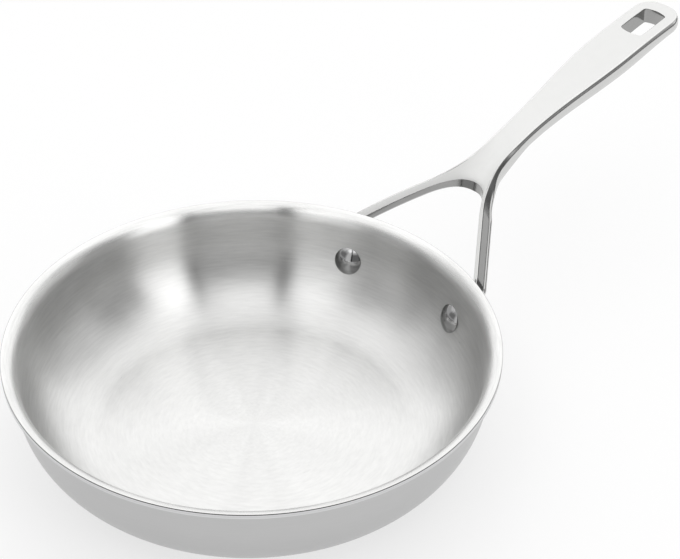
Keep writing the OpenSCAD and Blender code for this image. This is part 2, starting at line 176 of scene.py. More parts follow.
class PanSizes(bpy.types.PropertyGroup):
    """Sizes of the layered pan, as in the part's source."""

    pan_d: length("Width", "Width of the pan across its lip", 210)
    pan_h: length("Height", "Height of the lip's outer edge", 47.5)
    bend_r: length("Bend", "Outside radius of the bend between floor and wall", 35.3)
    wall_lean: angle("Lean", "Lean of the wall away from upright", 3.9)
    lip_reach: length("Lip reach", "Reach of the lip beyond the top of the wall", 3.9)
    lip_bend_r: length("Lip bend", "Radius under the rolled lip", 4)
    lip_tilt: angle("Lip tilt", "Upward tilt of the lip", 15)
    inner_skin_t: length("Inner skin", "Thickness of the layer that touches the food", 0.4)
    upper_aluminium_t: length("Upper aluminium", "Thickness of the upper aluminium layer", 0.6)
    middle_t: length("Middle steel", "Thickness of the steel layer in the middle", 0.4)
    lower_aluminium_t: length("Lower aluminium", "Thickness of the lower aluminium layer", 0.6)
    outer_skin_t: length("Outer skin", "Thickness of the magnetic layer outside", 0.5)
    edge_r: length("Cut edge rounding", "Rounding of the lip's cut edge", 0.18)


class HandleSizes(bpy.types.PropertyGroup):
    """Sizes of the cast handle, as in the part's source, with the small roundings of its edges."""

    handle_reach: length("Reach", "Reach of the handle from the lip to its tip", 177.8)
    tip_rise: length("Tip rise", "Height of the tip's top face above the lip", 48.3)
    grip_w: length("Grip width", "Width of the grip near the tip", 22.8)
    tip_t: length("Tip thickness", "Thickness of the grip at the tip", 8.3)
    grip_t: length("Grip thickness", "Thickness of the grip in the hand", 10.1)
    neck_t: length("Neck thickness", "Thickness of the grip at its narrowest place", 8)
    grip_bow: length("Bow", "Upward bow of the grip", 2.4)
    tip_round: length("Tip rounding", "Length of the rounding at the tip, from above", 10)
    full_width_back: length("Full width", "Distance from the tip to the grip's full width", 43)
    neck_reach: length("Neck reach", "Distance from the lip to the narrowest place", 66.5)
    neck_rise: length("Neck rise", "Height of the neck's top edges above the lip", 27.6)
    neck_w: length("Neck width", "Width of the neck", 13.4)
    crotch_reach: length("Crotch reach", "Distance from the lip to the crotch", 37.8)
    corner_reach: length("Corner reach", "Distance from the lip to where edge lines meet", 36.9)
    fork_bend_r: length("Fork bend", "Radius of the outer edge into a leg", 51.5)
    crotch_t: length("Crotch thickness", "Thickness of the handle at the crotch", 11)
    crotch_dip: length("Crotch dip", "Depth of the crotch's edge below the side edges", 5.1)
    leg_face_w: length("Leg face", "Width of a leg's inner top face", 1.5)
    leg_dip: length("Leg dip", "Depth of a leg's inner edge below its ridge", 2.3)
    leg_gap: length("Leg gap", "Gap between the lip and a leg's ridge", 4.7)
    leg_drop: length("Leg drop", "Depth of the ridge below the lip", 1.7)
    leg_fall: angle("Leg fall", "Fall of a leg where it passes the lip", 33.5)
    leg_past: length("Leg past", "Length of a leg from there to its foot", 1)
    hole_len: length("Slot length", "Length of the hanging slot", 21.6)
    hole_w: length("Slot width", "Width of the hanging slot", 12.2)
    hole_back: length("Slot place", "Distance from the tip to the slot's middle", 18)
    hole_end_r: length("Slot ends", "Radius of the slot's curved ends", 15)
    hole_corner_r: length("Slot corners", "Radius of the slot's corners", 1.4)
    hole_edge_r: length("Slot edge", "Rounding of the slot's edges", 0.35)
    crotch_edge_r: length("Crotch edge", "Rounding of the top edge inside the crotch", 1.5)
    leg_edge_r: length("Leg edge", "Rounding of a leg's inner edge", 0.45)
    ridge_r: length("Ridge", "Rounding of the edges between top face, bevel and side", 0.45)


class RivetSizes(bpy.types.PropertyGroup):
    """Sizes of the rivets and of the pads that they hold."""

    rivet_turn: angle("Turn", "Angle between each rivet and the handle's middle line", 18.8)
    rivet_h: length("Height", "Height of the rivets on the inner wall", 25.7)
    head_d: length("Head width", "Width of a rivet head", 12.7)
    head_h: length("Head height", "Height of a rivet head", 3)
    head_rim: length("Head rim", "Straight rim of a rivet head", 0.7)
    shank_d: length("Shank", "Width of a rivet's shank", 6)
    shank_gap: length("Shank gap", "Gap around a rivet's shank", 0.05)
    tail_d: length("Tail width", "Width of a rivet's formed tail", 10)
    tail_h: length("Tail height", "Height of a rivet's formed tail", 2)
    pad_t: length("Pad thickness", "Thickness of a pad at its rivet", 4)
    pad_r: length("Pad radius", "Radius of a pad round its rivet", 9)
    pad_edge_r: length("Pad rounding", "Rounding of a pad's edge", 1.5)
    foot_w: length("Foot width", "Width of a foot where it runs into its pad", 12)
    foot_t: length("Foot thickness", "Thickness of a foot there", 4.4)


class SteelFinishes(bpy.types.PropertyGroup):
    """Colours and roughness of the steels and the aluminium."""

    inside: colour("Inside", "Brushed stainless inside", "#D8D8D7")
    outside: colour("Outside", "Satin magnetic stainless outside", "#C4C4C4")
    core: colour("Aluminium", "Aluminium at the cut edge", "#D4D4D5")
    middle: colour("Middle steel", "Steel layer at the cut edge", "#CACACA")
    # The cut line's dark colour is painted shade on the rounded top corner of the lip's cut edge
    cut: colour("Cut line", "Dull line where the inside skin was cut", "#484848")
    cast: colour("Handle", "Cast and ground stainless", "#D0D0CF")
    blasted: colour("Blasted face", "Blasted top face of the handle", "#D5D5D4")
    # The walls of the fork and the slot, as cast, are darkened by painted shade in these recesses
    cast_walls_shaded: colour("Inner walls", "Walls of the fork and the slot, left as cast", "#9E9E9D")
    rivet: colour("Rivets", "Polished stainless", "#A9A9A9")
    inside_rough: share("Inside roughness", "Roughness of the brushed inside", 0.29)
    lip_rough: share("Lip roughness", "Roughness of the polished lip", 0.22)
    outside_rough: share("Outside roughness", "Roughness of the satin outside", 0.38)
    ground_rough: share("Blasted face", "Roughness of the handle's blasted top face", 0.5)
    cast_rough: share("Handle sides", "Roughness of the handle's polished edges and sides", 0.14)
    rivet_rough: share("Rivet roughness", "Roughness of the polished rivets", 0.05)
    brushing: share("Brushing", "How far the brushing spreads a reflection", 1.0)


class StudioStage(bpy.types.PropertyGroup):
    """Camera, floor and light of the plain studio."""

    lens: amount("Lens", "Focal length of the camera, in millimetres", 106.087)
    azimuth: angle("Camera azimuth", "Direction of the camera from the pan, from above", 223.39)
    elevation: angle("Camera elevation", "Height of the camera as an angle", 36.74)
    roll: angle("Camera roll", "Turn of the camera about its own axis", 0.468)
    distance: length("Camera distance", "Distance from the point it looks at", 813.56)
    target: bpy.props.FloatVectorProperty(
        name="Target",
        description="Point that the camera looks at",
        default=(0.020589, -0.030824, 0.085201),
        subtype="TRANSLATION",
        precision=5,
    )
    floor: colour("Floor", "Plain pale floor", "#F7F7F7")
    table_r: length("Table", "Radius of the round table that the floor covers", 850)
    whiteness: share("Whiteness", "How far the floor is plain white, without shadow", 0.65)
    sky: amount("Studio level", "Level of the studio where no soft box is", 0.7)


# Small helpers


def smooth(t):
    """An even start and end between 0 and 1."""
    u = max(0.0, min(1.0, t))
    return u * u * (3 - 2 * u)


def mix(a, b, t):
    """The value at a share t of the way from a to b."""
    return a + (b - a) * t


def curve(p, t):
    """A point on a curve with four guide points."""
    u = 1 - t
    return u * u * u * p[0] + 3 * u * u * t * p[1] + 3 * u * t * t * p[2] + t * t * t * p[3]


def curve_way(p, t):
    """The direction of that curve."""
    u = 1 - t
    way = u * u * (p[1] - p[0]) + 2 * u * t * (p[2] - p[1]) + t * t * (p[3] - p[2])
    return way.normalized()


def rounded(a, corner, b):
    """Points between a and b that round the corner between them, without a and b."""
    shares = [i / ROUND_STEPS for i in range(1, ROUND_STEPS)]
    return [(1 - t) ** 2 * a + 2 * t * (1 - t) * corner + t * t * b for t in shares]


def arc(middle_x, middle_y, radius, start, end, steps):
    """Points of an arc between two angles in degrees."""
    turns = [math.radians(mix(start, end, i / steps)) for i in range(steps + 1)]
    return [(middle_x + radius * math.cos(a), middle_y + radius * math.sin(a)) for a in turns]


def add_node(tree, kind, inputs=None, **settings):
    """Adds a node with its settings; each input is a socket to link or a value to set."""
    node = tree.nodes.new(kind)
    for key, value in settings.items():
        setattr(node, key, value)
    for key, value in (inputs or {}).items():
        if isinstance(value, bpy.types.NodeSocket):
            tree.links.new(value, node.inputs[key])
        else:
            node.inputs[key].default_value = value
    return node


def calc(tree, operation, *terms):
    """The result of a sum on sockets and plain numbers."""
    node = add_node(tree, "ShaderNodeMath", dict(enumerate(terms)), operation=operation)
    return node.outputs[0]


def vector_calc(tree, operation, inputs, out="Vector"):
    """The result of a sum on vectors."""
    return add_node(tree, "ShaderNodeVectorMath", inputs, operation=operation).outputs[out]


def join(tree, x=0.0, y=0.0, z=0.0):
    """A vector made from its three parts."""
    return add_node(tree, "ShaderNodeCombineXYZ", {"X": x, "Y": y, "Z": z}).outputs[0]


def split(tree, whole):
    """The three parts of a vector."""
    return add_node(tree, "ShaderNodeSeparateXYZ", {0: whole}).outputs


def ramp(tree, value, start=0.0, stop=1.0, low=0.0, high=1.0, way="LINEAR"):
    """A value moved from one range onto another and held at its ends."""
    inputs = {"Value": value, "From Min": start, "From Max": stop, "To Min": low, "To Max": high}
    return add_node(tree, "ShaderNodeMapRange", inputs, interpolation_type=way).outputs[0]


def link_object(name, mesh):
    """An object at the origin that shows a mesh."""
    made = bpy.data.objects.new(name, mesh)
    bpy.context.scene.collection.objects.link(made)
    return made


def mesh_from(name, points, faces, finish=()):
    """A closed mesh whose doubles are merged and whose faces point outwards."""
    mesh = bpy.data.meshes.new(name)
    mesh.from_pydata([tuple(p) for p in points], [], faces)
    if finish:
        mesh.attributes.new("finish", "FLOAT", "FACE").data.foreach_set("value", finish)
    close_mesh(mesh)
    return mesh


def close_mesh(mesh):
    """Merges the doubles of a mesh, drops what has no area and turns its faces outwards."""
    work = bmesh.new()
    work.from_mesh(mesh)
    for v in work.verts:
        # A turned piece comes together in one point on its axis
        if v.co.xy.length < SAME_PLACE:
            v.co.xy = (0, 0)
    bmesh.ops.remove_doubles(work, verts=work.verts, dist=SAME_PLACE)
    bmesh.ops.dissolve_degenerate(work, edges=work.edges, dist=SAME_PLACE / 10)
    loose = [e for e in work.edges if not e.link_faces]
    bmesh.ops.delete(work, geom=loose, context="EDGES")
    bmesh.ops.recalc_face_normals(work, faces=work.faces)
    if work.calc_volume(signed=True) < 0:
        bmesh.ops.reverse_faces(work, faces=work.faces)
    work.to_mesh(mesh)
    work.free()


def shade(mesh, sharp_degrees):
    """Smooth shading with crisp lines where faces meet at more than an angle."""
    mesh.shade_smooth()
    mesh.set_sharp_from_angle(angle=math.radians(sharp_degrees))


def finish_piece(piece, slot, *nodes):
    """Puts a finished piece in the place of its CAD nodes."""
    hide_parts(*nodes)
    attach(piece, "root")


# Revolved pieces


def revolve_tree():
    """Geometry Nodes that turn a half profile round the Z axis, and repeat the result."""
    tree = bpy.data.node_groups.new("revolve_profile", "GeometryNodeTree")
    sockets = {
        "Profile": "Geometry",
        "Steps round": "Int",
        "Radius of path": "Float",
        "Copies": "Int",
        "Lean": "Float",
        "Place": "Vector",
        "First turn": "Float",
        "Turn between copies": "Float",
        "Material": "Material",
    }
    for name, kind in sockets.items():
        tree.interface.new_socket(name, in_out="INPUT", socket_type="NodeSocket" + kind)
    tree.interface.new_socket("Piece", in_out="OUTPUT", socket_type="NodeSocketGeometry")
    start = add_node(tree, "NodeGroupInput").outputs

    def step(kind, inputs, out):
        return add_node(tree, "GeometryNode" + kind, inputs).outputs[out]

    section = step("MeshToCurve", {"Mesh": start["Profile"]}, "Curve")
    circle = {"Resolution": start["Steps round"], "Radius": start["Radius of path"]}
    path = step("CurvePrimitiveCircle", circle, "Curve")
    swept = step("CurveToMesh", {"Curve": path, "Profile Curve": section}, "Mesh")
    leant = join(tree, y=start["Lean"])
    seat = {"Geometry": swept, "Rotation": leant, "Translation": start["Place"]}
    placed = step("Transform", seat, "Geometry")
    seats = step("MeshLine", {"Count": start["Copies"], "Offset": (0, 0, 0)}, "Mesh")
    index = step("InputIndex", {}, "Index")
    turn = calc(tree, "MULTIPLY_ADD", index, start["Turn between copies"], start["First turn"])
    turned = join(tree, z=turn)
    copies = step("InstanceOnPoints", {"Points": seats, "Instance": placed, "Rotation": turned},
                  "Instances")
    real = step("RealizeInstances", {"Geometry": copies}, "Geometry")
    dressed = step("SetMaterial", {"Geometry": real, "Material": start["Material"]}, "Geometry")
    add_node(tree, "NodeGroupOutput", {"Piece": dressed})
    return tree


def revolve(name, profile, steps, material, copies=1, lean=0.0, place=(0, 0, 0), turns=(0, 0)):
    """A closed piece turned from a half profile of (radius, height) points, with copies of it."""
    # The swept circle turns a section's second axis downwards
    ring = [(r - SWEEP_R, -z, 0) for r, z in profile]
    line = bpy.data.meshes.new(name + "_profile")
    line.from_pydata(ring, [(i, (i + 1) % len(ring)) for i in range(len(ring))], [])
    carrier = link_object(name + "_profile", line)
    maker = carrier.modifiers.new("revolve", "NODES")
    maker.node_group = bpy.data.node_groups.get("revolve_profile") or revolve_tree()
    wanted = {
        "Steps round": steps,
        "Radius of path": SWEEP_R,
        "Copies": copies,
        "Lean": lean,
        "Place": place,
        "First turn": turns[0],
        "Turn between copies": turns[1],
        "Material": material,
    }
    for item in maker.node_group.interface.items_tree:
        if item.in_out == "INPUT" and item.name in wanted:
            maker[item.identifier] = wanted[item.name]
    ready = carrier.evaluated_get(bpy.context.evaluated_depsgraph_get())
    mesh = bpy.data.meshes.new_from_object(ready)
    mesh.name = name
    bpy.data.objects.remove(carrier)
    bpy.data.meshes.remove(line)
    close_mesh(mesh)
    return mesh


def wall_facts(pan):
    """The places that follow from the pan's sizes."""
    lean, tilt = pan.wall_lean, pan.lip_tilt
    fact = SimpleNamespace(lip_r=pan.pan_d / 2)
    fact.wall_t = (
        pan.inner_skin_t
        + pan.upper_aluminium_t
        + pan.middle_t
        + pan.lower_aluminium_t
        + pan.outer_skin_t
    )
    fact.wall_top_r = fact.lip_r - pan.lip_reach
    fact.lip_x = fact.wall_top_r + pan.lip_bend_r * math.cos(lean)
    fact.lip_z = (
        pan.pan_h
        - (pan.lip_bend_r + fact.wall_t) / math.cos(tilt)
        - (fact.lip_r - fact.lip_x) * math.tan(tilt)
    )
    wall_top_h = fact.lip_z + pan.lip_bend_r * math.sin(lean)
    bend_top_h = pan.bend_r * (1 - math.sin(lean))
    fact.floor_r = (
        fact.wall_top_r
        - (wall_top_h - bend_top_h) * math.tan(lean)
        - pan.bend_r * math.cos(lean)
    )
    return fact


def wall_curve(pan, depth):
    """Half profile of the wall at a depth under its outer face, from the axis to the lip."""
    fact = wall_facts(pan)
    lean, tilt = math.degrees(pan.wall_lean), math.degrees(pan.lip_tilt)
    floor = [(fact.floor_r * i / FLOOR_STEPS, depth) for i in range(FLOOR_STEPS)]
    bend = arc(fact.floor_r, pan.bend_r, pan.bend_r - depth, -90, -lean, BEND_STEPS)
    roll_r = pan.lip_bend_r + depth
    roll = arc(fact.lip_x, fact.lip_z, roll_r, 180 - lean, 90 + tilt, LIP_STEPS)
    end_z = (
        fact.lip_z
        + roll_r / math.cos(pan.lip_tilt)
        + (fact.lip_r - fact.lip_x) * math.tan(pan.lip_tilt)
    )
    return floor + bend + roll + [(fact.lip_r, end_z)]


def soften_end(line, radius, towards):
    """The line with its end rounded into the vertical cut edge, up or down."""
    (ax, az), (bx, bz) = line[-2:]
    back = radius / math.hypot(bx - ax, bz - az)
    from_x, from_z, to_z = mix(bx, ax, back), mix(bz, az, back), bz + towards * radius
    xs = (from_x, *rounded(from_x, bx, bx), bx)
    zs = (from_z, *rounded(from_z, bz, to_z), to_z)
    return line[:-1] + list(zip(xs, zs))


def layer_profile(pan, low, high, soft_low, soft_high):
    """Closed half profile of the layer between two depths, with its cut edges rounded or not."""
    lower, upper = wall_curve(pan, low), wall_curve(pan, high)
    if soft_low:
        lower = soften_end(lower, pan.edge_r, 1)
    if soft_high:
        upper = soften_end(upper, pan.edge_r, -1)
    return lower + upper[::-1]


def map_along(mesh, profile):
    """UV map with its first axis along the profile and its second round the axis, in metres."""
    tree = KDTree(len(profile))
    run, before, along = 0.0, profile[0], []
    for i, point in enumerate(profile):
        run += math.dist(before, point)
        before = point
        along.append(run)
        tree.insert((point[0], 0, point[1]), i)
    tree.balance()
    where = []
    for v in mesh.vertices:
        hit = tree.find((math.hypot(v.co.x, v.co.y), 0, v.co.z))[1]
        where.append((along[hit], math.atan2(v.co.y, v.co.x)))
    layer = mesh.uv_layers.new(name="along")
    for face in mesh.polygons:
        middle = math.atan2(face.center.y, face.center.x)
        for corner in face.loop_indices:
            at = mesh.loops[corner].vertex_index
            turn = where[at][1]
            if math.hypot(*mesh.vertices[at].co.xy) < SAME_PLACE:
                turn = middle
            turn += 2 * math.pi * round((middle - turn) / (2 * math.pi))
            layer.data[corner].uv = (where[at][0], turn * MAP_R)


# Cast handle


def bar_plan(hs, pan, rs):
    """The numbers that the handle's ribs share."""
    lip_r = wall_facts(pan).lip_r
    tip_x, neck_x = lip_r + hs.handle_reach, lip_r + hs.neck_reach
    crotch_x, corner_x = lip_r + hs.crotch_reach, lip_r + hs.corner_reach
    half = hs.neck_w / 2
    turn = rs.rivet_turn
    root = (lip_r + hs.leg_gap) * Vector((math.cos(turn), math.sin(turn)))
    leg_turn = math.atan2(root.y - half, corner_x - root.x)
    leg_way = Vector((-math.cos(leg_turn), math.sin(leg_turn)))
    leg_side = Vector((math.sin(leg_turn), math.cos(leg_turn)))
    cut = hs.fork_bend_r * math.tan(leg_turn / 2)
    bend_from, bend_len = neck_x - corner_x - cut, hs.fork_bend_r * leg_turn
    leg_start = Vector((corner_x, half)) + cut * leg_way
    inner_end = leg_start - hs.leg_face_w * leg_side
    guides = [
        Vector((crotch_x, 0)),
        Vector((crotch_x, CROTCH_SIDE_SHARE * inner_end.y)),
        inner_end - CROTCH_LEG_SHARE * (crotch_x - inner_end.x) * leg_way,
        inner_end,
    ]
    return SimpleNamespace(
        tip_x=tip_x,
        round_x=tip_x - hs.tip_round,
        full_x=tip_x - hs.full_width_back,
        neck_x=neck_x,
        crotch_x=crotch_x,
        tip_z=pan.pan_h + hs.tip_rise,
        neck_z=pan.pan_h + hs.neck_rise,
        root_z=pan.pan_h - hs.leg_drop,
        root=root,
        leg_way=leg_way,
        leg_side=leg_side,
        bend_from=bend_from,
        bend_len=bend_len,
        leg_start=leg_start,
        leg_len=(root - leg_start).dot(leg_way) + hs.leg_past,
        guides=guides,
        crotch_from=bend_from + CROTCH_RIB_SHARE * bend_len,
        crotch_to=bend_from + bend_len,
    )


def edge_height(hs, plan, x):
    """Height of the handle's top edges over a place on the middle line."""
    grip_run = plan.tip_x - plan.neck_x
    leg_run = plan.neck_x - plan.root.x
    neck_z, bow = plan.neck_z, 4 * hs.grip_bow
    if x >= plan.neck_x:
        t = (x - plan.neck_x) / grip_run
        return mix(neck_z, plan.tip_z, t) + bow * t * (1 - t)
    t = (plan.neck_x - x) / leg_run
    rate = (plan.tip_z - neck_z + bow) / grip_run
    return (
        neck_z * (1 + 2 * t) * (1 - t) ** 2
        + plan.root_z * t * t * (3 - 2 * t)
        - rate * leg_run * t * (1 - t) ** 2
        + math.tan(hs.leg_fall) * leg_run * t * t * (1 - t)
    )


def outer_edge(hs, plan, s):
    """Outer edge from the neck to the root of a leg, by its length."""
    half = hs.neck_w / 2
    if s < plan.bend_from:
        return Vector((plan.neck_x - s, half))
    if s < plan.bend_from + plan.bend_len:
        a = (s - plan.bend_from) / hs.fork_bend_r
        x = plan.neck_x - plan.bend_from - hs.fork_bend_r * math.sin(a)
        return Vector((x, half + hs.fork_bend_r * (1 - math.cos(a))))
    return plan.leg_start + (s - plan.bend_from - plan.bend_len) * plan.leg_way


def bar_ribs(hs, plan):
    """Ribs from the tip to the feet, and the number of the first one beside the fork."""
    ribs = []

    def height(x):
        return edge_height(hs, plan, x)

    def rib(inner, outer, dip, foot, foot_z, leggy):
        inner_z, outer_z = height(inner.x) - dip, height(outer.x)
        ribs.append(
            SimpleNamespace(
                inner=inner, outer=outer, inner_z=inner_z, outer_z=outer_z, foot=foot,
                foot_z=foot_z, leggy=leggy,
            )
        )

    def half_width(x):
        t = smooth((x - plan.neck_x) / (plan.full_x - plan.neck_x))
        return mix(hs.neck_w, hs.grip_w, t) / 2

    hollow_from = plan.neck_x + hs.neck_w / 2

    def hollow(x):
        t = max(0.0, hollow_from - x) / (hollow_from - plan.crotch_x)
        return hs.crotch_dip * t * t

    def thick(x):
        if x > plan.full_x:
            t = smooth((x - plan.full_x) / (plan.round_x - plan.full_x))
            return mix(hs.grip_t, hs.tip_t, t)
        t = smooth((x - plan.neck_x) / (plan.full_x - plan.neck_x))
        return mix(hs.neck_t, hs.grip_t, t)

    reach = hs.tip_round * math.sin(TIP_TURN) / math.sin(FIRST_RIB_TURN)
    for i in range(TIP_RIBS):
        a = FIRST_RIB_TURN * (1 - i / TIP_RIBS)
        x = plan.round_x + reach * math.sin(a)
        width = half_width(x) * math.cos(a) ** (2 / TIP_POWER)
        floor = height(x) - thick(x) * math.cos(a) ** TIP_KEEP_SHARE
        rib(Vector((x, 0)), Vector((x, width)), 0, Vector((x, 0)), floor, 0)
    for i in range(GRIP_RIBS):
        x = mix(plan.round_x, plan.neck_x, i / GRIP_RIBS)
        rib(Vector((x, 0)), Vector((x, half_width(x))), hollow(x), Vector((x, 0)),
            height(x) - thick(x), 0)
    for i in range(NECK_RIBS):
        # Ribs stand closer towards the crotch, where its edge is rounded
        t = 1 - (1 - i / NECK_RIBS) ** NECK_CLOSENESS
        x = mix(plan.neck_x, plan.crotch_x, t)
        rib(Vector((x, 0)), outer_edge(hs, plan, t * plan.crotch_from), hollow(x),
            Vector((x - CROTCH_WALL_IN * smooth(t), 0)),
            height(x) - mix(hs.neck_t, hs.crotch_t, smooth(t)),
            CROTCH_LEG_MIX_SHARE * smooth(t))
    fork = len(ribs)
    for i in range(CROTCH_RIBS):
        t = i / CROTCH_RIBS
        inner, way = curve(plan.guides, t), curve_way(plan.guides, t)
        dip = mix(hs.crotch_dip, hs.leg_dip, smooth(t))
        down = mix(hs.crotch_t - hs.crotch_dip, LEG_WALL_DOWN, smooth(t))
        lean = mix(CROTCH_WALL_IN, LEG_WALL_IN, t) * Vector((-way.y, way.x))
        rib(inner, outer_edge(hs, plan, mix(plan.crotch_from, plan.crotch_to, t)), dip,
            inner + lean, height(inner.x) - dip - down,
            mix(CROTCH_LEG_MIX_SHARE, 1, smooth(t)))
    for i in range(LEG_RIBS + 1):
        outer = plan.leg_start + i / LEG_RIBS * plan.leg_len * plan.leg_way
        inner = outer - hs.leg_face_w * plan.leg_side
        rib(inner, outer, hs.leg_dip, inner - LEG_WALL_IN * plan.leg_side,
            height(inner.x) - hs.leg_dip - LEG_WALL_DOWN, 1)
    return ribs, fork


def bar_section(hs, rib):
    """Points of the handle's section along a rib: top face, bevel, then the belly."""
    across, leggy = rib.outer - rib.inner, rib.leggy
    wide = across.length
    out = across.normalized()
    bevel = rib.outer + mix(GRIP_BEVEL_OUT, LEG_BEVEL_OUT, leggy) * out
    bevel_z = rib.outer_z - mix(GRIP_BEVEL_DOWN, LEG_BEVEL_DOWN, leggy)
    side = bevel + mix(min(GRIP_SWELL, wide), LEG_SWELL, leggy) * out
    side_z = bevel_z - mix(GRIP_SIDE_SHARE * (bevel_z - rib.foot_z), LEG_SIDE_DOWN, leggy)
    under = rib.foot + mix(GRIP_FLOOR_SHARE * wide, LEG_FOOT_IN, leggy) * out
    under_z = rib.foot_z - LEG_FOOT_DOWN * leggy
    belly = [
        bevel.to_3d() + Vector((0, 0, bevel_z)),
        side.to_3d() + Vector((0, 0, side_z)),
        under.to_3d() + Vector((0, 0, under_z)),
        rib.foot.to_3d() + Vector((0, 0, rib.foot_z)),
    ]

    def top(t):
        p = rib.inner + t * across
        rise = mix(t * t, math.sin(math.pi / 2 * t), leggy)
        return Vector((p.x, p.y, mix(rib.inner_z, rib.outer_z, rise)))

    ridge, edge = top(1), belly[0]
    soft = min(hs.ridge_r, TOP_ROUND_SHARE * wide)
    facet = (edge - ridge).length
    stop = 1 - soft / wide
    after = ridge.lerp(edge, soft / facet)
    before = edge.lerp(ridge, min(BEVEL_ROUND_SHARE, hs.ridge_r / facet))
    # Points stand closer together towards the inner edge, which is rounded in the fork
    points = [top(stop * (j / TOP_STEPS) ** 2) for j in range(TOP_STEPS + 1)]
    points += rounded(points[-1], ridge, after)
    # Two more points keep the bevel flat between its rounded edges
    points += [after, after.lerp(before, BEVEL_HOLD_SHARE)]
    points += [before.lerp(after, BEVEL_HOLD_SHARE), before]
    points += rounded(before, edge, curve(belly, BELLY_FROM))
    return points + [
        curve(belly, mix(BELLY_FROM, 1, j / BELLY_STEPS)) for j in range(BELLY_STEPS + 1)
    ]


def rivet_facts(pan, rs):
    """Where a rivet passes the wall's outer face, and the slope of the wall there."""
    fact = wall_facts(pan)
    slope = math.acos((pan.bend_r - rs.rivet_h) / (pan.bend_r - fact.wall_t))
    radius = fact.floor_r + pan.bend_r * math.sin(slope)
    return slope, radius, pan.bend_r - pan.bend_r * math.cos(slope), fact.wall_t


def on_wall(pan, rs, across, up, out):
    """A place on the outside of the wall, by its distances from the left rivet."""
    slope, radius, z, _ = rivet_facts(pan, rs)
    r = radius + up * math.cos(slope) + out * math.sin(slope)
    turn = rs.rivet_turn
    return Vector(
        (
            r * math.cos(turn) - across * math.sin(turn),
            r * math.sin(turn) + across * math.cos(turn),
            z + up * math.sin(slope) - out * math.cos(slope),
        )
    )


def foot_rings(hs, pan, rs, plan, last_ring):
    """Rings that turn a leg down into its pad."""
    way = Vector((*plan.leg_way, plan.leg_way.x * math.tan(hs.leg_fall))).normalized()
    up = on_wall(pan, rs, 0, 1, 0) - on_wall(pan, rs, 0, 0, 0)
    belly_from = TOP_STEPS + 2 * ROUND_STEPS + 3
    ends = []
    for j in range(len(last_ring)):
        if j <= TOP_STEPS:
            a = mix(*FOOT_TOP_TURNS, j / TOP_STEPS)
        elif j < belly_from:
            between = (j - TOP_STEPS) / (belly_from - TOP_STEPS)
            a = mix(FOOT_TOP_TURNS[1], FOOT_BELLY_TURNS[0], between)
        else:
            a = mix(*FOOT_BELLY_TURNS, (j - belly_from) / BELLY_STEPS)
        a = math.radians(a)
        ends.append(
            on_wall(pan, rs, rs.foot_w / 2 * math.cos(a), FOOT_UP,
                    FOOT_OUT + rs.foot_t / 2 * math.sin(a))
        )
    rings = []
    for k in range(1, FOOT_RIBS + 1):
        ring = []
        for p, end in zip(last_ring, ends):
            guides = [p, p + FOOT_LEG_LEAD * way, end + FOOT_PAD_LEAD * up, end]
            ring.append(curve(guides, k / FOOT_RIBS))
        rings.append(ring)
    return rings


def ease_inner_edge(rings, ribs, fork, hs, plan):
    """Lowers the top face towards the inner edge of the fork, so that the edge is rounded."""
    edge = KDTree(len(ribs) - fork)
    for i, rib in enumerate(ribs[fork:]):
        edge.insert((rib.inner.x, rib.inner.y, 0), i)
    edge.balance()
    leg_x = plan.guides[-1].x
    for ring in rings[fork - EASE_BEFORE :]:
        for p in ring[: TOP_STEPS + 1]:
            away = edge.find((p.x, p.y, 0))[2]
            near_crotch = smooth((p.x - leg_x) / (plan.crotch_x - leg_x))
            radius = mix(hs.leg_edge_r, hs.crotch_edge_r, near_crotch)
            if away < radius:
                p.z -= radius - math.sqrt(radius**2 - (radius - away) ** 2)


def face_finish(j, k, past_fork, count):
    """Finish of a face of the loft: 1 is blasted, a half is polished and 0 is as cast, darkened
    with painted shade.
    """
    if j < TOP_STEPS and k < count:
        return 1.0
    if j in BEVEL_FACES:
        return 0.5 * (1 - smooth((past_fork - BEVEL_TURNS_FROM) / BEVEL_TURNS_OVER))
    return 0.5


def bar_mesh(hs, pan, rs):
    """The grip, fork, legs and feet as one closed loft, the same on both sides of the middle."""
    plan = bar_plan(hs, pan, rs)
    ribs, fork = bar_ribs(hs, plan)
    rings = [bar_section(hs, rib) for rib in ribs]
    ease_inner_edge(rings, ribs, fork, hs, plan)
    rings += foot_rings(hs, pan, rs, plan, rings[-1])
    wide, last = len(rings[0]), len(rings) - 1
    points = [p for ring in rings for p in ring]
    points += [Vector((p.x, -p.y, p.z)) for p in points]
    faces, finish = [], []
    for side in (0, 1):
        shift = side * len(rings) * wide

        def at(k, j):
            return shift + k * wide + j

        some = []
        for k in range(last):
            for j in range(wide - 1):
                some.append((at(k, j), at(k + 1, j), at(k + 1, j + 1), at(k, j + 1)))
                finish.append(face_finish(j, k, k - fork, len(ribs)))
            if k >= fork:
                finish.append(0.0)
                some.append((at(k, wide - 1), at(k + 1, wide - 1), at(k + 1, 0), at(k, 0)))
        for k in (0, last):
            middle = len(points)
            points.append(sum((points[at(k, j)] for j in range(wide)), Vector()) / wide)
            some += [(middle, at(k, j), at(k, j + 1)) for j in range(wide - 1)]
            if k == last:
                some.append((middle, at(k, wide - 1), at(k, 0)))
        faces += some
        finish += [0.5] * (len(faces) - len(finish))
    # At the tip the two half caps meet on the middle line
    for i in range(2 * len(rings) * wide, len(points)):
        if abs(points[i].x - rings[0][0].x) < SAME_PLACE:
            points[i] = (rings[0][0] + rings[0][-1]) / 2
    return mesh_from("cast_handle", points, faces, finish)


